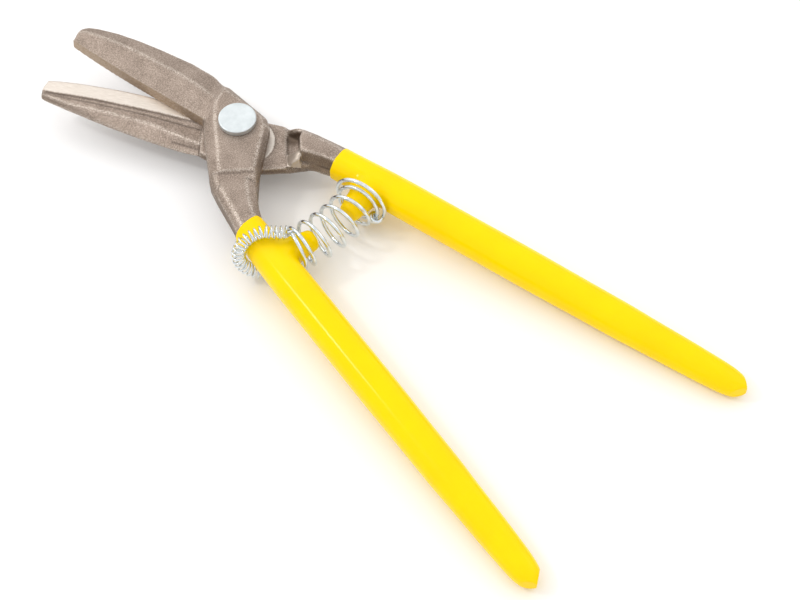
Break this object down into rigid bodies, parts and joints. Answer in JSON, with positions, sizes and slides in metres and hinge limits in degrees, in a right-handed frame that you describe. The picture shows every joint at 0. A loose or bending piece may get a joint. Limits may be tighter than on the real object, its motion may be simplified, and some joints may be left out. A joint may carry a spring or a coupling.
{
  "type": "sheet metal hand shears",
  "caption": "Forged offset hand shears for sheet metal: two bolted levers with dipped grips, coated spring pegs, a coil return spring and its retaining spring.",
  "frame": {"origin": "centre of the pivot bolt's rear end face, on the pivot axis", "axes": "+Z along the pivot axis out of the bolt's head, +Y towards the blades along the bisector of the two handles at rest, X across the handles"},
  "size_m": [0.1256, 0.3218, 0.0304],
  "materials": {
    "forging": "bead-blasted drop forging, ground cutting faces",
    "zinc": "bright blue-passivated zinc",
    "grip": "glossy dip-moulded PVC",
    "peg_steel": "plain turned steel",
    "spring_wire": "bright zinc-plated spring wire"
  },
  "bodies": {
    "lower_half": {"lower_lever": "forging", "lower_grip": "grip", "lower_peg": "peg_steel", "return_spring": "spring_wire"},
    "upper_half": {"upper_lever": "forging", "upper_grip": "grip", "upper_peg": "peg_steel", "pivot_bolt": "zinc", "pivot_washer": "zinc", "pivot_nut": "zinc", "retaining_spring": "spring_wire"}
  },
  "joints": [
    {"name": "blade_pivot", "type": "hinge", "parent": "lower_half", "child": "upper_half", "pos_m": [0, 0, 0.01655], "axis": [0, 0, 1], "range_deg": [-8, 14.5], "stiffness_Nm_per_rad": 2.4, "deforming": ["return_spring"]}
  ]
}
